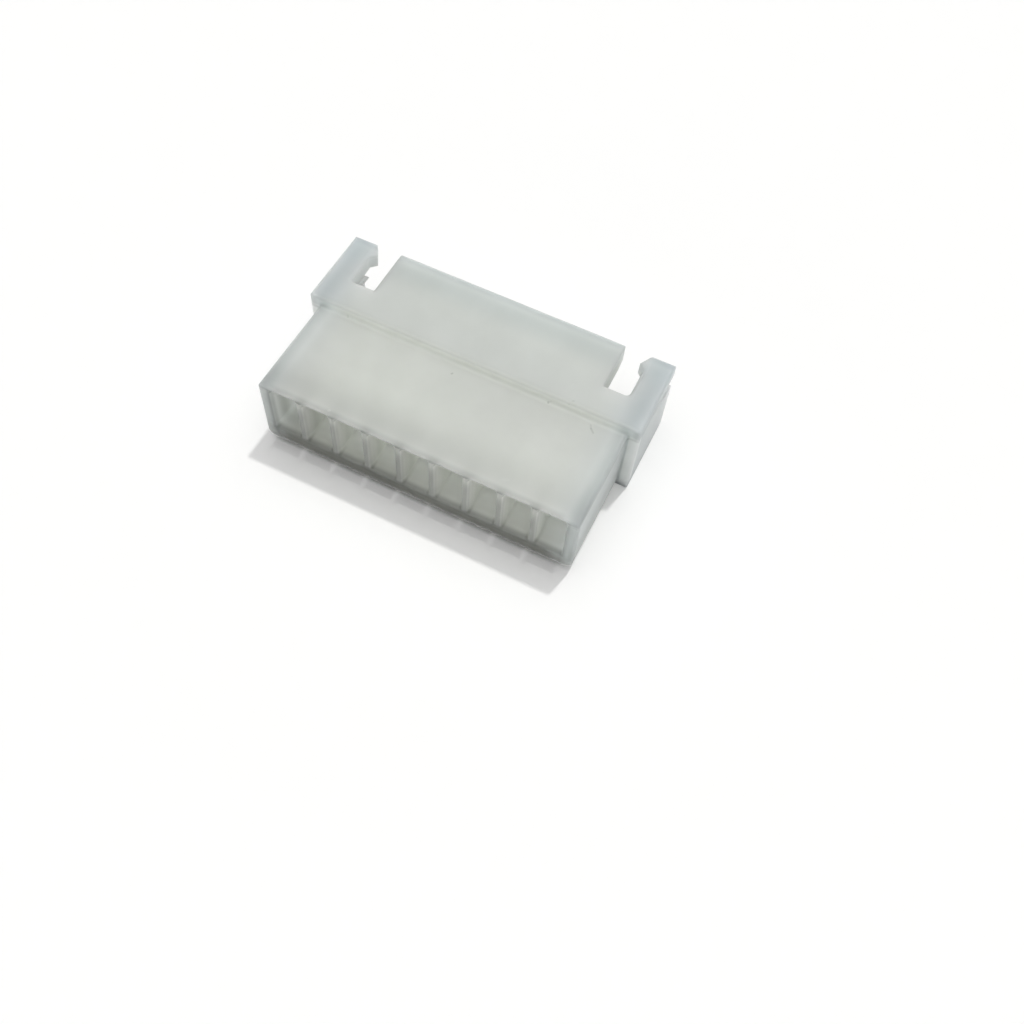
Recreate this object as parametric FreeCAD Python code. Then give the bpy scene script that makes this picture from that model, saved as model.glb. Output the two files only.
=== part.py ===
"""Nine-way housing for crimped pin terminals, moulded in one piece.

X runs along the row of circuits, Y is the mating direction, from the wire side to the mouth
of the shroud, and Z is up. The origin is at the middle of the underside. Millimetres.
"""
import FreeCAD, Part
import os
from math import sin, tan

# Circuits
circuits = 9
pitch = 2.50

# Rear body, which holds the crimped ends of the terminals
end_margin = 1.84
body_length = 8.05
body_height = 5.65
body_top_round = 0.24
body_bottom_round = 0.55
wire_rim_round = 0.10

# Shroud, which stands proud of the body all round and takes the mating half
shroud_length = 6.55
side_step = 0.81
top_step = 0.60
bottom_step = 0.53
shroud_round = 0.15
shroud_rear_round = 0.10
junction_fillet = 0.20
tip_round = 0.30
plate_round = 0.10
foot_round = 0.45
brow_round = 0.42

# Walls of the shroud and the web between the shroud and the cavities
top_wall = 1.85
bottom_wall = 0.80
end_wall = 0.80
web_thickness = 1.00
pocket_round = 0.30
lead_in_width = 0.50
lead_in_depth = 0.95

# Slots that free the latch arms from the middle of the top wall
slot_width = 1.885
slot_depth = 4.14
slot_root_round = 0.35
slot_corner_round = 0.12
middle_corner_round = 0.28

# Latch arms, thinner towards the tip, with a hook at each tip
arm_width = 1.90
arm_root_thickness = 1.25
arm_tip_thickness = 0.90
hook_reach = 0.45
hook_tip_reach = -0.19
hook_lead_in = 1.15
hook_back = 0.42
hook_nose_round = 0.08
hook_throat_round = 0.12

# Wedge slit between each arm and the end wall under it
slit_drop = 1.40
slit_root_round = 0.10
end_wall_top_round = 0.15

# Slight round that the mould leaves along the slots and slits
opening_round = 0.06

# Cavities, each flared at the wire side, with a fine chamfer round the mouth
cavity_width = 1.86
cavity_floor = 1.30
cavity_roof = 0.75
cavity_draft = 0.04
cavity_round = 0.15
flare_side = 0.13
flare_floor = 0.10
flare_roof = 0.53
flare_depth = 0.55
mouth_chamfer = 0.05

# Pin holes through the web, with a funnel on the cavity side
pin_size = 0.64
pin_clearance = 0.16
funnel_width = 1.40
funnel_depth = 0.45

# Windows in the underside, whose front edge stops the terminal's lance
window_width = 1.30
window_length = 2.10
window_set_back = 1.70
window_round = 0.15

# Overshoot of a cutter past the face that it opens, and the tolerances of the geometry tests
past = 1.0
near = 0.01
shortest_edge = 0.0001

# Sizes that follow from those above
row_length = (circuits - 1) * pitch
body_half = row_length / 2 + end_margin
shroud_half = body_half + side_step
total_length = body_length + shroud_length
body_low = bottom_step
body_high = body_low + body_height
shroud_high = body_high + top_step
pocket_half = shroud_half - end_wall
pocket_low = bottom_wall
pocket_high = shroud_high - top_wall
web_front = body_length + web_thickness
arm_inner = shroud_half - arm_width
slot_inner = arm_inner - slot_width
slot_root = total_length - slot_depth
arm_root_low = shroud_high - arm_root_thickness
arm_tip_low = shroud_high - arm_tip_thickness
plate_high = arm_tip_low - slit_drop
cavity_low = body_low + cavity_floor
cavity_high = body_high - cavity_roof
cavity_middle = (cavity_low + cavity_high) / 2
pin_level = (pocket_low + pocket_high) / 2


def on_front(y):
    """Place a point (x, z) on the plane across the mating direction at y."""
    return lambda x, z: FreeCAD.Vector(x, y, z)


def on_top(z):
    """Place a point (x, y) on the level plane at height z."""
    return lambda x, y: FreeCAD.Vector(x, y, z)


def on_side(x):
    """Place a point (y, z) on the plane across the row at x."""
    return lambda y, z: FreeCAD.Vector(x, y, z)


def outline(corners, place):
    """Closed wire through corners (u, v, radius), with a tangent arc at each rounded one."""
    flat = [FreeCAD.Vector(u, v, 0) for u, v, radius in corners]
    bends = []
    for i, (u, v, radius) in enumerate(corners):
        corner = flat[i]
        back = (flat[i - 1] - corner).normalize()
        ahead = (flat[(i + 1) % len(flat)] - corner).normalize()
        half_angle = back.getAngle(ahead) / 2
        reach = radius / tan(half_angle)
        middle = corner + (back + ahead).normalize() * (radius / sin(half_angle) - radius)
        bends.append((corner + back * reach, middle, corner + ahead * reach, radius))
    edges = []
    for i, (start, middle, end, radius) in enumerate(bends):
        if radius > 0:
            points = [place(p.x, p.y) for p in (start, middle, end)]
            edges.append(Part.Arc(*points).toShape())
        following = bends[(i + 1) % len(bends)][0]
        if following.distanceToPoint(end) > shortest_edge:
            ends = [place(p.x, p.y) for p in (end, following)]
            edges.append(Part.LineSegment(*ends).toShape())
    return Part.Wire(edges)


def prism(corners, place, run):
    """Solid swept from an outline along the vector run."""
    return Part.Face(outline(corners, place)).extrude(run)


def rectangle(half_width, low, high, low_round, high_round):
    """Corners of a rectangle centred on the row, with one radius below and one above."""
    return [
        (-half_width, low, low_round),
        (half_width, low, low_round),
        (half_width, high, high_round),
        (-half_width, high, high_round),
    ]


def taper(first, first_y, second, second_y):
    """Solid between two like outlines that lie across the mating direction."""
    wires = [outline(first, on_front(first_y)), outline(second, on_front(second_y))]
    return Part.makeLoft(wires, True, True)


def rim_edges(shape, y, half_width, low, high):
    """Edges in the plane at y that lie on the rim of the given rectangle."""
    found = []
    for edge in shape.Edges:
        box = edge.BoundBox
        reach = max(-box.XMin, box.XMax)
        in_plane = abs(box.YMin - y) < near and abs(box.YMax - y) < near
        inside = reach < half_width + near and box.ZMin > low - near and box.ZMax < high + near
        on_rim = reach > half_width - near or box.ZMin < low + near or box.ZMax > high - near
        if in_plane and inside and on_rim:
            found.append(edge)
    return found


def make_shroud_block():
    """Solid shroud: the shape that its front, top and side outlines have in common."""
    front = prism(
        rectangle(shroud_half, 0, shroud_high, shroud_round, shroud_round),
        on_front(body_length),
        FreeCAD.Vector(0, shroud_length, 0),
    )
    slit_level = (plate_high + arm_tip_low) / 2
    plates = prism(
        rectangle(shroud_half, body_length - past, total_length, 0, plate_round),
        on_top(-past),
        FreeCAD.Vector(0, 0, slit_level + past),
    )
    arms = prism(
        rectangle(shroud_half, body_length - past, total_length, 0, tip_round),
        on_top(slit_level),
        FreeCAD.Vector(0, 0, shroud_high - slit_level + past),
    )
    side = prism(
        [
            (body_length - past, 0, 0),
            (total_length, 0, foot_round),
            (total_length, shroud_high, brow_round),
            (body_length - past, shroud_high, 0),
        ],
        on_side(-shroud_half - past),
        FreeCAD.Vector(2 * (shroud_half + past), 0, 0),
    )
    return front.common(plates.fuse(arms)).common(side)


def make_outside():
    """Body and shroud in one, with the soft edges of the mould where they meet."""
    body = prism(
        rectangle(body_half, body_low, body_high, body_bottom_round, body_top_round),
        on_front(0),
        FreeCAD.Vector(0, body_length + web_thickness, 0),
    )
    shape = body.fuse(make_shroud_block()).removeSplitter()
    rear_rim = rim_edges(shape, body_length, shroud_half, 0, shroud_high)
    shape = shape.makeFillet(shroud_rear_round, rear_rim)
    junction = rim_edges(shape, body_length, body_half, body_low, body_high)
    shape = shape.makeFillet(junction_fillet, junction)
    wire_rim = rim_edges(shape, 0, body_half, body_low, body_high)
    return shape.makeFillet(wire_rim_round, wire_rim)


def make_pocket():
    """Inside of the shroud, with a lead-in for the mating half round its mouth."""
    straight = rectangle(pocket_half, pocket_low, pocket_high, pocket_round, pocket_round)
    run = FreeCAD.Vector(0, total_length - web_front + past, 0)
    pocket = prism(straight, on_front(web_front), run)
    wide = rectangle(
        pocket_half + lead_in_width,
        pocket_low - lead_in_width,
        pocket_high + lead_in_width,
        pocket_round + lead_in_width,
        pocket_round + lead_in_width,
    )
    return pocket.fuse(taper(straight, total_length - lead_in_depth, wide, total_length))


def make_slot():
    """Slot through the top wall, whose outer side is the profile of the latch hook."""
    nose_y = total_length - hook_lead_in
    tip_inner = arm_inner - hook_tip_reach
    corners = [
        (slot_inner, total_length, middle_corner_round),
        (slot_inner, slot_root, slot_corner_round),
        (arm_inner, slot_root, slot_root_round),
        (arm_inner, nose_y - hook_back, hook_throat_round),
        (arm_inner - hook_reach, nose_y, hook_nose_round),
        (tip_inner, total_length, 0),
        (tip_inner, total_length + past, 0),
        (slot_inner - middle_corner_round, total_length + past, 0),
        (slot_inner - middle_corner_round, total_length, 0),
    ]
    return prism(corners, on_top(pocket_high), FreeCAD.Vector(0, 0, top_wall + past))


def make_slit():
    """Wedge under one latch arm, which runs out sideways through the end wall."""
    slope = (arm_tip_low - arm_root_low) / slot_depth
    corners = [
        (slot_root, arm_root_low, slit_root_round),
        (total_length, plate_high, end_wall_top_round),
        (total_length, plate_high - 2 * end_wall_top_round, 0),
        (total_length + past, plate_high - 2 * end_wall_top_round, 0),
        (total_length + past, arm_tip_low + slope * past, 0),
    ]
    run = FreeCAD.Vector(arm_width + 2 * past, 0, 0)
    return prism(corners, on_side(arm_inner - past), run)


def make_cavity():
    """One circuit: flared mouth, drafted cavity, funnel, pin hole and lance window."""
    half = cavity_width / 2
    end_half = half - cavity_draft
    mouth_low = cavity_low - flare_floor
    mouth_high = cavity_high + flare_roof
    mouth = rectangle(half + flare_side, mouth_low, mouth_high, cavity_round, cavity_round)
    rim = rectangle(
        half + flare_side + mouth_chamfer,
        mouth_low - mouth_chamfer,
        mouth_high + mouth_chamfer,
        cavity_round + mouth_chamfer,
        cavity_round + mouth_chamfer,
    )
    throat = rectangle(half, cavity_low, cavity_high, cavity_round, cavity_round)
    end_low = cavity_low + cavity_draft
    end_high = cavity_high - cavity_draft
    end = rectangle(end_half, end_low, end_high, cavity_round, cavity_round)
    funnel_half = funnel_width / 2
    hole_half = (pin_size + pin_clearance) / 2
    funnel = rectangle(funnel_half, pin_level - funnel_half, pin_level + funnel_half, 0, 0)
    hole = rectangle(hole_half, pin_level - hole_half, pin_level + hole_half, 0, 0)
    funnel_end = body_length + funnel_depth
    window_high = body_length - window_set_back
    window = rectangle(
        window_width / 2, window_high - window_length, window_high, window_round, 0
    )
    pieces = [
        taper(mouth, mouth_chamfer, throat, flare_depth),
        taper(throat, flare_depth, end, body_length),
        taper(funnel, body_length, hole, funnel_end),
        prism(hole, on_front(funnel_end), FreeCAD.Vector(0, web_front - funnel_end + past, 0)),
        prism(window, on_top(-past), FreeCAD.Vector(0, 0, cavity_middle + past)),
    ]
    return taper(rim, 0, mouth, mouth_chamfer).multiFuse(pieces)


def edges_between(shape, reach, y, z):
    """Edges that lie within a range of distance from the middle, of y and of z."""
    found = []
    for edge in shape.Edges:
        box = edge.BoundBox
        nearest = min(abs(box.XMin), abs(box.XMax))
        furthest = max(-box.XMin, box.XMax)
        across = reach[0] - near < nearest and furthest < reach[1] + near
        along = y[0] - near < box.YMin and box.YMax < y[1] + near
        upright = z[0] - near < box.ZMin and box.ZMax < z[1] + near
        if across and along and upright:
            found.append(edge)
    return found


def soften_openings(shape):
    """Round the edges of the slots on the top of the shroud, and of the slits on its ends."""
    run = (slot_root - slit_root_round, total_length)
    slots = edges_between(shape, (slot_inner, arm_inner), run, (shroud_high, shroud_high))
    slits = edges_between(shape, (shroud_half, shroud_half), run, (plate_high, arm_root_low))
    return shape.makeFillet(opening_round, slots + slits)


def make_housing():
    """The whole moulding, centred on its footprint."""
    cutters = [make_pocket()]
    for cut in (make_slot(), make_slit()):
        cutters.append(cut)
        cutters.append(cut.mirror(FreeCAD.Vector(0, 0, 0), FreeCAD.Vector(1, 0, 0)))
    cavity = make_cavity()
    for i in range(circuits):
        cutters.append(cavity.translated(FreeCAD.Vector(i * pitch - row_length / 2, 0, 0)))
    shape = soften_openings(make_outside().cut(cutters).removeSplitter())
    shape.translate(FreeCAD.Vector(0, -total_length / 2, 0))
    return shape


os.makedirs("parts", exist_ok=True)
housing = make_housing()
print("solids", len(housing.Solids), "valid", housing.isValid(), "volume", round(housing.Volume, 2))
housing.exportStep("parts/housing.step")
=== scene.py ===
"""Looks of a nine-way housing for crimped terminals, one moulding in natural milky nylon.

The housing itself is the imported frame's own node. This script dresses it, and builds the studio
round it: a white table that sweeps up into a low backdrop, a small high lamp behind the part, a
soft glow overhead and the camera.
Lengths are metres; the _MM and _mm values are millimetres, which suit the size of the part.
"""
import logging
import math
from dataclasses import dataclass
from enum import Enum
from typing import Any

import bmesh
import bpy
from mathutils import Matrix, Vector

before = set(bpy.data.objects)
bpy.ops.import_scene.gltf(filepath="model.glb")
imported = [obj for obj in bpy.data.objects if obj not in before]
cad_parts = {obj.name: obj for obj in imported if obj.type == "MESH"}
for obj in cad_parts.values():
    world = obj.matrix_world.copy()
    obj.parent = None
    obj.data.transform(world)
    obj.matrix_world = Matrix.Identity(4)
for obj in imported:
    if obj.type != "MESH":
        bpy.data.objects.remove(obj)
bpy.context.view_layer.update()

MM = 0.001

log = logging.getLogger("housing")

Socket = bpy.types.NodeSocket
Point = tuple[float, float, float]
Colour = tuple[float, float, float]
Limits = tuple[float | None, float | None, float | None]

# Places on the part. X runs along the row, Y from the mouths to the mating side, and Z up.
WAYS = 9
PITCH_MM = 2.5
BODY_TOP_MM = 6.18
SHROUD_TOP_MM = 6.78

# Sides that several shades share: just behind the front face, just before the step, just below
# the top faces, and close to the outer walls, the floors and the roofs of the cavities.
FRONT_TO_MM = -7.0
BODY_TO_MM = 0.6
TOP_FROM_MM = 5.9
ROW_HALF_MM = 11.1
CAVITY_FROM_MM = 1.85
CAVITY_TO_MM = 5.45

# Half the width of the shade on a divider, a little more than the divider has.
DIVIDER_HALF_MM = 0.36

# A side of a shade's box that lies beyond the part, and so needs no edge.
OPEN = None


class Finish(Enum):
    """Surfaces in the scene, each by the name of its finish."""

    NATURAL_NYLON = "natural_nylon"
    TABLE = "table_paint"


def rgba(colour: Colour) -> tuple[float, float, float, float]:
    """Return a linear colour with full alpha."""
    return (*colour, 1.0)


def grey(level: float) -> Colour:
    """Return a light or a tint with one level in red, green and blue."""
    return (level, level, level)


class NodeTree:
    """A thin wrapper over a shader node tree that adds and joins nodes in one call."""

    def __init__(self, tree: bpy.types.NodeTree) -> None:
        """Empty the tree and keep it.

        Args:
            tree: the node tree to fill.
        """
        self.tree = tree
        self.tree.nodes.clear()

    def put(self, socket: Socket, value: Any) -> None:
        """Give an input socket a plain value, or join it to another node's output.

        Args:
            socket: the input to fill.
            value: a plain value or an output.
        """
        if isinstance(value, Socket):
            self.tree.links.new(value, socket)
        else:
            socket.default_value = value

    def add(
        self, kind: str, inputs: dict[Any, Any] | None = None, **settings: Any
    ) -> bpy.types.Node:
        """Add one node.

        Args:
            kind: the node's type name, such as ShaderNodeMix.
            inputs: socket name or number to a plain value or to another node's output.
            **settings: attributes of the node, such as operation="ADD".

        Returns:
            The new node.
        """
        node = self.tree.nodes.new(kind)
        for name, value in settings.items():
            setattr(node, name, value)
        for socket, value in (inputs or {}).items():
            self.put(node.inputs[socket], value)
        return node

    def math(self, operation: str, first: Any, second: Any = 0.0, clamp: bool = False) -> Socket:
        """Join two values with a Math node.

        Args:
            operation: the Math node's operation.
            first: a value or an output.
            second: a value or an output.
            clamp: whether the result is held between 0 and 1.

        Returns:
            The node's output.
        """
        inputs = {0: first, 1: second}
        return self.add("ShaderNodeMath", inputs, operation=operation, use_clamp=clamp).outputs[0]

    def vector(self, operation: str, inputs: dict[Any, Any], output: str) -> Socket:
        """Join vectors with a Vector Math node.

        Args:
            operation: the node's operation.
            inputs: socket name or number to a plain value or to another node's output.
            output: the name of the output to return.

        Returns:
            The node's output.
        """
        return self.add("ShaderNodeVectorMath", inputs, operation=operation).outputs[output]

    def ramp(
        self, value: Any, low: float, high: float, to_low: float = 0.0, to_high: float = 1.0
    ) -> Socket:
        """Map a value smoothly from one range to another.

        Args:
            value: the output to map.
            low: where the change begins.
            high: where it ends.
            to_low: the result at low and below it.
            to_high: the result at high and above it.

        Returns:
            The mapped value's output.
        """
        inputs = {
            "Value": value, "From Min": low, "From Max": high, "To Min": to_low, "To Max": to_high,
        }
        node = self.add("ShaderNodeMapRange", inputs, interpolation_type="SMOOTHSTEP")
        return node.outputs["Result"]

    def blend(self, share: Any, first: Any, second: Any, how: str = "MIX") -> Socket:
        """Blend two colours.

        Args:
            share: how much of the second shows.
            first: a colour or an output.
            second: a colour or an output.
            how: the blend type.

        Returns:
            The blended colour's output.
        """
        node = self.add("ShaderNodeMix", data_type="RGBA", blend_type=how, clamp_factor=True)
        sockets = {found.identifier: found for found in node.inputs}
        self.put(sockets["Factor_Float"], share)
        self.put(sockets["A_Color"], first)
        self.put(sockets["B_Color"], second)
        return next(found for found in node.outputs if found.identifier == "Result_Color")


@dataclass(frozen=True)
class PaintedShade:
    """A soft-edged box of painted light or painted shade, which makes the nylon's colour lighter or
    darker there, standing in for light that its walls let by.

    Beyond each side that isn't OPEN, the box fades out over fade_mm. A box of both halves takes X
    as the distance from the part's middle, so it stands mirrored in the left half too.
    """

    low_mm: Limits
    high_mm: Limits
    fade_mm: Point
    tint: Colour
    both_halves: bool = True


@dataclass(frozen=True)
class Mark:
    """A small dark or pale fleck in the skin, drawn out between two points."""

    start_mm: Point
    end_mm: Point
    radius_mm: float
    tint: Colour


@dataclass(frozen=True)
class Lumps:
    """Noise with lumps about size_mm wide, and detail octaves of finer noise on them."""

    size_mm: float
    detail: float


# Painted light and painted shade in the cavities and on the dividers.
CAVITY_SHADES = (
    # Painted light inside the cavities.
    PaintedShade(
        (OPEN, -7.20, CAVITY_FROM_MM), (ROW_HALF_MM, BODY_TO_MM, CAVITY_TO_MM),
        (0.15, 0.12, 0.15), (1.65, 1.63, 1.63),
    ),
    # Painted shade towards the mouths of all the cavities, and more so in the left ones.
    PaintedShade((OPEN, OPEN, 1.82), (ROW_HALF_MM, -6.5, TOP_FROM_MM), (0.3, 1.5, 0.3), grey(0.74)),
    PaintedShade(
        (OPEN, OPEN, 2.3), (-1.0, -6.2, TOP_FROM_MM),
        (5.0, 1.5, 0.4), grey(0.80), both_halves=False,
    ),
    # Painted shade midway in the leftmost cavities.
    PaintedShade(
        (OPEN, -6.0, CAVITY_FROM_MM), (-10.0, -3.0, CAVITY_TO_MM),
        (3.0, 0.8, 0.15), (0.80, 0.80, 0.79), both_halves=False,
    ),
    # Painted shade on the fronts of the dividers and the face below them, and then on each divider
    # by itself.
    PaintedShade((OPEN, OPEN, OPEN), (10.9, -7.15, 4.3), (0.3, 0.3, 1.4), grey(0.74)),
    *(
        PaintedShade(
            (divider - DIVIDER_HALF_MM, OPEN, 1.9), (divider + DIVIDER_HALF_MM, -6.9, 4.9),
            (0.15, 0.5, 0.8), grey(0.84),
        )
        for divider in ((number + 0.5) * PITCH_MM for number in range(WAYS // 2))
    ),
    # Painted light deep in the left cavities.
    PaintedShade(
        (OPEN, -5.4, 1.7), (0.0, BODY_TO_MM, 5.6), (1.5, 0.8, 0.2), grey(1.08), both_halves=False,
    ),
)

# Painted shade on the front below the mouths.
FRONT_SHADES = (
    # Painted shade on the strip below the mouths, and on its left half once more.
    PaintedShade((OPEN, OPEN, OPEN), (9.6, FRONT_TO_MM, 1.45), (2.0, 0.9, 0.6), (0.41, 0.41, 0.39)),
    PaintedShade(
        (OPEN, OPEN, OPEN), (-4.0, FRONT_TO_MM, 1.8),
        (7.0, 0.9, 0.4), (0.87, 0.87, 0.86), both_halves=False,
    ),
    # Painted shade on the bottom rim.
    PaintedShade((OPEN, OPEN, OPEN), (12.0, FRONT_TO_MM, 0.8), (0.6, 0.3, 0.5), (0.54, 0.54, 0.53)),
    # Painted shade on the low corner at the left, and then on both low corners.
    PaintedShade(
        (OPEN, OPEN, OPEN), (-11.0, FRONT_TO_MM, 1.8),
        (0.6, 0.3, 0.9), grey(0.80), both_halves=False,
    ),
    PaintedShade((11.2, OPEN, OPEN), (OPEN, FRONT_TO_MM, 1.2), (0.5, 0.3, 0.9), grey(0.86)),
)

BODY_TOP_SHADES = (
    # Painted light on the wall of the step, and painted shade on its top edge.
    PaintedShade((OPEN, BODY_TO_MM, TOP_FROM_MM), (12.0, 0.85, 6.5), (0.5, 0.35, 0.2), grey(1.22)),
    PaintedShade((OPEN, 0.7, 6.55), (12.0, 1.0, OPEN), (0.5, 0.3, 0.15), grey(0.965)),
    # Painted light on the whole top, and painted shade towards the mouths, darkest at the rim above
    # them.
    PaintedShade(
        (OPEN, OPEN, TOP_FROM_MM), (12.0, BODY_TO_MM, OPEN),
        (0.5, 0.45, 0.1), (1.08, 1.08, 1.07),
    ),
    PaintedShade((OPEN, OPEN, TOP_FROM_MM), (OPEN, -6.9, OPEN), (0.5, 3.8, 0.1), (0.73, 0.73, 0.74)),
    PaintedShade((OPEN, OPEN, TOP_FROM_MM), (10.4, -7.18, OPEN), (0.8, 0.45, 0.1), grey(0.68)),
    # Painted shade at both ends of the top.
    PaintedShade((11.7, OPEN, 5.7), (OPEN, BODY_TO_MM, OPEN), (1.0, 0.3, 0.2), (0.68, 0.69, 0.69)),
)

SHROUD_SHADES = (
    # Painted shade at both ends of the top, then all of it cooler, and painted shade towards the
    # mouth and its rim.
    PaintedShade((11.9, 0.9, 5.7), (OPEN, OPEN, OPEN), (1.3, 0.3, 0.2), (0.85, 0.86, 0.86)),
    PaintedShade((OPEN, 1.3, TOP_FROM_MM), (OPEN, OPEN, OPEN), (0.1, 0.6, 0.1), (0.98, 0.985, 1.0)),
    PaintedShade((OPEN, 6.2, TOP_FROM_MM), (OPEN, OPEN, OPEN), (0.1, 2.2, 0.1), (0.86, 0.885, 0.90)),
    PaintedShade((OPEN, 7.0, 6.3), (OPEN, OPEN, OPEN), (0.1, 0.6, 0.3), (0.80, 0.82, 0.84)),
    # Painted light on the flanges' faces towards the wires, and on the arms' inner faces.
    PaintedShade((12.0, -1.0, 0.5), (OPEN, 1.1, 5.8), (0.1, 0.2, 0.3), (1.30, 1.28, 1.25)),
    PaintedShade((10.2, 3.4, 1.5), (11.0, 7.4, 6.55), (0.1, 0.5, 0.3), grey(1.30)),
)

END_SHADES = (
    # Painted shade on the front beside the outer mouths.
    PaintedShade((ROW_HALF_MM, OPEN, OPEN), (OPEN, -7.1, 5.4), (0.4, 0.3, 0.4), (0.72, 0.73, 0.73)),
    # Painted shade on the end walls of the body, low down and as a whole.
    PaintedShade((11.6, OPEN, OPEN), (OPEN, BODY_TO_MM, 2.0), (0.2, 0.3, 2.0), (0.82, 0.82, 0.81)),
    PaintedShade((11.7, OPEN, OPEN), (OPEN, BODY_TO_MM, 5.7), (0.1, 0.3, 0.3), grey(0.94)),
)

MARKS = (
    # Four dark specks, the second with a faint tail, and the third on the edge of the step.
    Mark((-0.84, -0.38, BODY_TOP_MM), (-0.80, -0.32, BODY_TOP_MM), 0.10, (0.76, 0.77, 0.76)),
    Mark((5.99, 0.57, BODY_TOP_MM), (6.03, 0.50, BODY_TOP_MM), 0.10, (0.81, 0.82, 0.81)),
    Mark((6.03, 0.58, BODY_TOP_MM), (6.17, 0.72, 6.20), 0.10, grey(0.92)),
    Mark((7.39, 0.74, 6.60), (7.61, 1.05, SHROUD_TOP_MM), 0.11, (0.88, 0.89, 0.88)),
    Mark((-9.62, 0.74, 6.20), (-9.53, 0.61, BODY_TOP_MM), 0.11, (0.88, 0.89, 0.88)),
    # A short scratch with a bend in it.
    Mark((9.30, 0.21, BODY_TOP_MM), (9.44, -0.05, BODY_TOP_MM), 0.09, grey(0.87)),
    Mark((9.44, -0.05, BODY_TOP_MM), (9.71, -0.31, BODY_TOP_MM), 0.10, (0.80, 0.81, 0.80)),
    # A pale speck by the front rim, and a faint pale arc.
    Mark((-6.54, -6.97, 6.17), (-6.50, -6.93, 6.17), 0.14, grey(1.15)),
    Mark((6.05, -6.41, BODY_TOP_MM), (6.34, -6.27, BODY_TOP_MM), 0.16, grey(1.04)),
)


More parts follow.
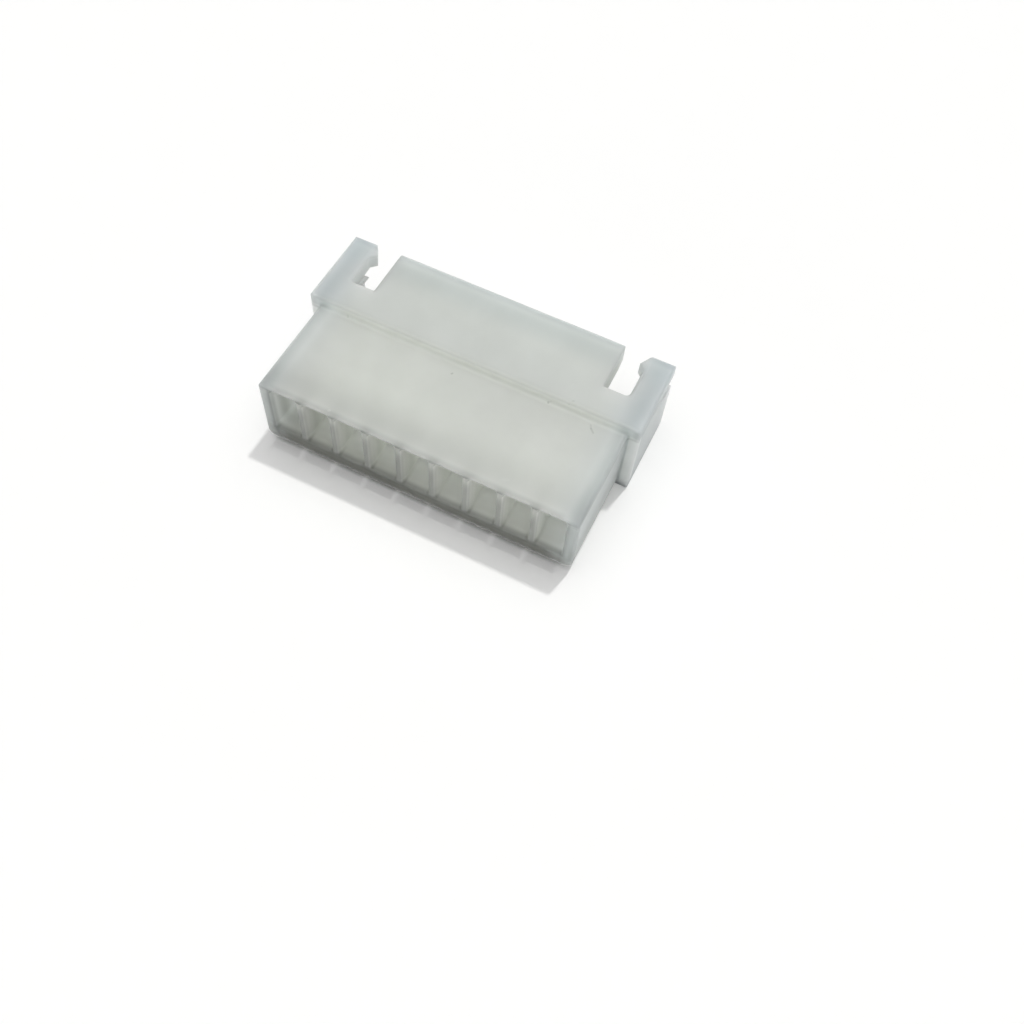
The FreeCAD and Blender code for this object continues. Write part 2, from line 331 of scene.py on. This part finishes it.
@dataclass(frozen=True)
class NaturalNylon:
    """Unfilled nylon as moulded: milky, a little see-through, with a satin skin."""

    slot: str = Finish.NATURAL_NYLON.value
    core_colour: Colour = (0.540, 0.560, 0.530)
    # Towards both ends the colour is cooler, and darker as painted shade.
    cooler_shaded_end_colour: Colour = (0.485, 0.522, 0.528)
    end_start_mm: float = 9.0
    end_full_mm: float = 12.6
    scatter_mm: Point = (5.0, 5.0, 4.8)
    lamp_share: float = 0.50
    ior: float = 1.53
    specular: float = 0.35
    roughness: float = 0.46
    roughness_swing: float = 0.05
    satin_patches: Lumps = Lumps(2.0, detail=4.0)
    cloud_swing: float = 0.03
    clouds: Lumps = Lumps(4.0, detail=3.0)
    noise_low: float = 0.3
    noise_high: float = 0.7
    edge_blur_mm: float = 0.35
    edge_blur_samples: int = 6
    sink_depth_mm: float = 0.012
    sink: Lumps = Lumps(5.0, detail=1.0)
    grain_depth_mm: float = 0.0015
    grain: Lumps = Lumps(0.09, detail=2.0)
    # Painted light and painted shade, in soft boxes.
    painted_shades: tuple[PaintedShade, ...] = (
        *CAVITY_SHADES, *FRONT_SHADES, *BODY_TOP_SHADES, *SHROUD_SHADES, *END_SHADES,
    )
    marks: tuple[Mark, ...] = MARKS
    mark_core: float = 1.0 / 3.0

    def dress(self, piece: bpy.types.Object) -> None:
        """Put the finish in every material slot of a piece.

        Args:
            piece: the mesh object to dress.
        """
        material = self.make()
        for slot in piece.material_slots:
            slot.material = material

    def make(self) -> bpy.types.Material:
        """Build the material.

        Returns:
            The finished material.
        """
        material = bpy.data.materials.new("nylon_as_moulded")
        material.use_nodes = True
        nodes = NodeTree(material.node_tree)
        place = nodes.add("ShaderNodeTexCoord").outputs["Object"]
        shader = nodes.add(
            "ShaderNodeBsdfPrincipled",
            {
                "Base Color": self.colour(nodes, place),
                "Roughness": self.satin(nodes, place),
                "IOR": self.ior,
                "Specular IOR Level": self.specular,
                "Subsurface Weight": 1.0,
                "Subsurface Radius": tuple(reach * MM for reach in self.scatter_mm),
                "Subsurface Scale": 1.0,
                "Normal": self.skin(nodes, place),
            },
            subsurface_method="RANDOM_WALK",
        )
        nodes.add("ShaderNodeOutputMaterial", {"Surface": self.let_lamps_in(nodes, shader)})
        return material

    def let_lamps_in(self, nodes: NodeTree, shader: bpy.types.Node) -> Socket:
        """Let part of each lamp's light straight through a wall, as milky nylon does.

        Args:
            nodes: the tree to add to.
            shader: the surface as it is seen.

        Returns:
            The shader's output, which is clearer to light on its way from a lamp.
        """
        from_lamp = nodes.add("ShaderNodeLightPath").outputs["Is Shadow Ray"]
        share = nodes.math("MULTIPLY", from_lamp, self.lamp_share)
        clear = nodes.add("ShaderNodeBsdfTransparent")
        inputs = {0: share, 1: shader.outputs[0], 2: clear.outputs[0]}
        return nodes.add("ShaderNodeMixShader", inputs).outputs[0]

    def colour(self, nodes: NodeTree, place: Socket) -> Socket:
        """Milky body colour, cooler and with painted shade towards both ends, with painted light
        and shade in soft boxes, marks and faint clouds.

        Args:
            nodes: the tree to add to.
            place: Object coordinates.

        Returns:
            The colour's output.
        """
        axes = nodes.add("ShaderNodeSeparateXYZ", {0: place}).outputs
        along = nodes.math("ABSOLUTE", axes["X"])
        ends = nodes.ramp(along, self.end_start_mm * MM, self.end_full_mm * MM)
        base = nodes.blend(ends, rgba(self.core_colour), rgba(self.cooler_shaded_end_colour))
        # Painted light and painted shade, one soft box after another, multiplied into the colour.
        for shade in self.painted_shades:
            across = along if shade.both_halves else axes["X"]
            share = self.inside(nodes, (across, axes["Y"], axes["Z"]), shade)
            base = nodes.blend(share, base, rgba(shade.tint), "MULTIPLY")
        for mark in self.marks:
            base = nodes.blend(self.near(nodes, place, mark), base, rgba(mark.tint), "MULTIPLY")
        swing = self.wander(nodes, place, self.clouds, 1.0, self.cloud_swing)
        tint = nodes.add("ShaderNodeCombineColor", {0: swing, 1: swing, 2: swing}).outputs[0]
        return nodes.blend(1.0, base, tint, "MULTIPLY")

    def inside(self, nodes: NodeTree, places: tuple[Socket, ...], shade: PaintedShade) -> Socket:
        """How far inside a shade's box a point lies, from 0 outside its fade to 1 in the box.

        Args:
            nodes: the tree to add to.
            places: the point's place along each axis.
            shade: the box.

        Returns:
            The share's output.
        """
        edges = []
        for place, low, high, fade in zip(places, shade.low_mm, shade.high_mm, shade.fade_mm):
            if low is not OPEN:
                edges.append(nodes.ramp(place, (low - fade) * MM, low * MM))
            if high is not OPEN:
                edges.append(nodes.ramp(place, high * MM, (high + fade) * MM, 1.0, 0.0))
        share, *others = edges
        for edge in others:
            share = nodes.math("MULTIPLY", share, edge)
        return share

    def near(self, nodes: NodeTree, place: Socket, mark: Mark) -> Socket:
        """How near a point lies to a mark's line, from 0 beyond its radius to 1 in its core.

        Args:
            nodes: the tree to add to.
            place: Object coordinates.
            mark: the mark.

        Returns:
            The share's output.
        """
        start, end = Vector(mark.start_mm) * MM, Vector(mark.end_mm) * MM
        run = end - start
        to_place = nodes.vector("SUBTRACT", {0: place, 1: start}, "Vector")
        ahead = nodes.vector("DOT_PRODUCT", {0: to_place, 1: run / run.length_squared}, "Value")
        along = nodes.math("ADD", ahead, 0.0, clamp=True)
        foot = nodes.vector("SCALE", {0: run, "Scale": along}, "Vector")
        gap = nodes.vector("DISTANCE", {0: to_place, 1: foot}, "Value")
        radius = mark.radius_mm * MM
        return nodes.ramp(gap, radius * self.mark_core, radius, 1.0, 0.0)

    def satin(self, nodes: NodeTree, place: Socket) -> Socket:
        """Roughness of the skin, which the mould's polish leaves slightly uneven.

        Args:
            nodes: the tree to add to.
            place: Object coordinates.

        Returns:
            The roughness output.
        """
        return self.wander(nodes, place, self.satin_patches, self.roughness, self.roughness_swing)

    def skin(self, nodes: NodeTree, place: Socket) -> Socket:
        """Bump of the skin: the fine grain of the mould over shallow sink and blurred edges.

        Light spreads inside the walls, so the shading turns gently round every edge.

        Args:
            nodes: the tree to add to.
            place: Object coordinates.

        Returns:
            The bumped normal's output.
        """
        blur = {"Radius": self.edge_blur_mm * MM}
        normal = nodes.add("ShaderNodeBevel", blur, samples=self.edge_blur_samples).outputs[0]
        for lumps, depth_mm in ((self.sink, self.sink_depth_mm), (self.grain, self.grain_depth_mm)):
            height = self.noise(nodes, place, lumps)
            inputs = {"Height": height, "Distance": depth_mm * MM, "Normal": normal}
            normal = nodes.add("ShaderNodeBump", inputs).outputs[0]
        return normal

    def wander(
        self, nodes: NodeTree, place: Socket, lumps: Lumps, middle: float, swing: float
    ) -> Socket:
        """Let a value swing to both sides of its middle, from lump to lump.

        Args:
            nodes: the tree to add to.
            place: Object coordinates.
            lumps: the noise that it follows.
            middle: the value that it swings about.
            swing: how far it goes to each side.

        Returns:
            The value's output.
        """
        noise = self.noise(nodes, place, lumps)
        return nodes.ramp(noise, self.noise_low, self.noise_high, middle - swing, middle + swing)

    def noise(self, nodes: NodeTree, place: Socket, lumps: Lumps) -> Socket:
        """Lay noise over the piece.

        Args:
            nodes: the tree to add to.
            place: Object coordinates.
            lumps: its size and its detail.

        Returns:
            The noise value's output.
        """
        inputs = {"Vector": place, "Scale": 1.0 / (lumps.size_mm * MM), "Detail": lumps.detail}
        return nodes.add("ShaderNodeTexNoise", inputs).outputs[0]


@dataclass(frozen=True)
class TablePaint:
    """Matt white paint of the table."""

    colour: Colour = (0.93, 0.93, 0.925)
    roughness: float = 0.9
    specular: float = 0.1

    def make(self) -> bpy.types.Material:
        """Build the material.

        Returns:
            The finished material.
        """
        material = bpy.data.materials.new(Finish.TABLE.value)
        material.use_nodes = True
        nodes = NodeTree(material.node_tree)
        shader = nodes.add(
            "ShaderNodeBsdfPrincipled",
            {
                "Base Color": rgba(self.colour),
                "Roughness": self.roughness,
                "Specular IOR Level": self.specular,
            },
        )
        nodes.add("ShaderNodeOutputMaterial", {"Surface": shader.outputs[0]})
        return material


@dataclass(frozen=True)
class Housing:
    """The one moulding, which comes packed and is only dressed here."""

    node: str = "housing"
    finish: NaturalNylon = NaturalNylon()

    def build(self, nodes: dict[str, bpy.types.Object]) -> bpy.types.Object:
        """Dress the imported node.

        Args:
            nodes: the frame's nodes by name.

        Returns:
            The dressed object.
        """
        piece = nodes[self.node]
        self.finish.dress(piece)
        return piece


@dataclass(frozen=True)
class Table:
    """A wide flat table top that sweeps up into a low backdrop all round.

    Its profile is a list of distances from the middle, each with a height.
    """

    name: str = "table"
    profile: tuple[tuple[float, float], ...] = (
        (0.50, 0.0), (0.545, 0.006), (0.575, 0.024), (0.593, 0.06), (0.60, 0.11), (0.60, 0.18),
    )
    segments: int = 96
    paint: TablePaint = TablePaint()

    def build(self) -> bpy.types.Object:
        """Make the table, paint it and put it in the scene.

        Returns:
            The table.
        """
        mesh = bpy.data.meshes.new(self.name)
        shape = self.shape()
        shape.to_mesh(mesh)
        shape.free()
        table = bpy.data.objects.new(self.name, mesh)
        bpy.context.scene.collection.objects.link(table)
        mesh.materials.append(self.paint.make())
        return table

    def shape(self) -> bmesh.types.BMesh:
        """Lay the top as a disc, and draw its rim out and up along the profile.

        Returns:
            The table's shape.
        """
        (radius, height), *sweep = self.profile
        shape = bmesh.new()
        bmesh.ops.create_circle(shape, cap_ends=True, radius=radius, segments=self.segments)
        rim = list(shape.edges)
        for next_radius, next_height in sweep:
            raised = bmesh.ops.extrude_edge_only(shape, edges=rim)["geom"]
            corners = [part for part in raised if isinstance(part, bmesh.types.BMVert)]
            rim = [part for part in raised if isinstance(part, bmesh.types.BMEdge)]
            grow = next_radius / radius
            bmesh.ops.scale(shape, vec=(grow, grow, 1.0), verts=corners)
            bmesh.ops.translate(shape, vec=(0.0, 0.0, next_height - height), verts=corners)
            radius, height = next_radius, next_height
        for face in shape.faces:
            face.smooth = True
        return shape


@dataclass(frozen=True)
class HighLamp:
    """A small distant lamp, high and behind, which draws the part's short shadow."""

    name: str = "high_lamp"
    shines_from: Point = (0.075, 0.341, 0.937)
    angle_deg: float = 3.0
    strength: float = 1.48
    colour: Colour = (1.0, 0.995, 0.985)

    def build(self) -> bpy.types.Object:
        """Make the lamp.

        Returns:
            The lamp.
        """
        data = bpy.data.lights.new(self.name, "SUN")
        data.energy = self.strength
        data.angle = math.radians(self.angle_deg)
        data.color = self.colour
        lamp = bpy.data.objects.new(self.name, data)
        lamp.rotation_mode = "QUATERNION"
        lamp.rotation_quaternion = Vector(self.shines_from).to_track_quat("Z", "Y")
        bpy.context.scene.collection.objects.link(lamp)
        return lamp


@dataclass(frozen=True)
class Sky:
    """A broad soft glow, brightest straight overhead and fading to nothing at the horizon."""

    name: str = "sky"
    light: Colour = grey(1.77)
    tightness: float = 4.0

    def build(self) -> None:
        """Make the world's background."""
        world = bpy.data.worlds.new(self.name)
        world.use_nodes = True
        nodes = NodeTree(world.node_tree)
        direction = nodes.add("ShaderNodeTexCoord").outputs["Generated"]
        height = nodes.add("ShaderNodeSeparateXYZ", {0: direction}).outputs["Z"]
        share = nodes.math("POWER", nodes.math("MAXIMUM", height), self.tightness)
        light = nodes.vector("SCALE", {0: self.light, "Scale": share}, "Vector")
        glow = nodes.add("ShaderNodeBackground", {"Color": light, "Strength": 1.0})
        nodes.add("ShaderNodeOutputWorld", {"Surface": glow.outputs[0]})
        bpy.context.scene.world = world


@dataclass(frozen=True)
class Camera:
    """The camera, turned round its target by azimuth, elevation and roll."""

    name: str = "camera"
    azimuth_deg: float = 20.978
    elevation_deg: float = 58.924
    roll_deg: float = 5.917
    target_mm: Point = (6.407, -5.135, 0.53)
    distance_mm: float = 74.367
    lens_mm: float = 37.78
    sensor_mm: float = 36.0
    nearest_mm: float = 1.0

    def build(self) -> bpy.types.Object:
        """Make the camera and look through it.

        Returns:
            The camera.
        """
        data = bpy.data.cameras.new(self.name)
        data.lens = self.lens_mm
        data.sensor_width = self.sensor_mm
        data.clip_start = self.nearest_mm * MM
        camera = bpy.data.objects.new(self.name, data)
        camera.matrix_world = self.place()
        bpy.context.scene.collection.objects.link(camera)
        bpy.context.scene.camera = camera
        return camera

    def place(self) -> Matrix:
        """Work out where the camera stands and how it is turned.

        Returns:
            The camera's matrix.
        """
        azimuth, elevation = math.radians(self.azimuth_deg), math.radians(self.elevation_deg)
        back = Vector((
            math.sin(azimuth) * math.cos(elevation),
            -math.cos(azimuth) * math.cos(elevation),
            math.sin(elevation),
        ))
        level = Vector((0, 0, 1)).cross(back).normalized()
        upright = back.cross(level)
        turn = Matrix.Rotation(math.radians(self.roll_deg), 3, back)
        axes = Matrix((turn @ level, turn @ upright, back)).transposed()
        stand = (Vector(self.target_mm) + back * self.distance_mm) * MM
        return Matrix.Translation(stand) @ axes.to_4x4()


@dataclass(frozen=True)
class Studio:
    """Table, lamp, sky and camera."""

    table: Table = Table()
    lamp: HighLamp = HighLamp()
    sky: Sky = Sky()
    camera: Camera = Camera()
    bounces: int = 12

    def build(self) -> list[bpy.types.Object]:
        """Make everything round the part.

        Returns:
            The table, the lamp and the camera.
        """
        pieces = [self.table.build(), self.lamp.build(), self.camera.build()]
        self.sky.build()
        scene = bpy.context.scene
        scene.view_settings.view_transform = "Standard"
        scene.cycles.diffuse_bounces = self.bounces
        return pieces


def main() -> None:
    """Dress the housing, build the studio round it, and report each piece."""
    logging.basicConfig(level=logging.INFO, format="%(name)s: %(message)s")
    housing = Housing().build(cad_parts)
    log.info("%s dressed, %d faces", housing.name, len(housing.data.polygons))
    for piece in Studio().build():
        log.info("%s in place", piece.name)


if __name__ == "__main__":
    main()
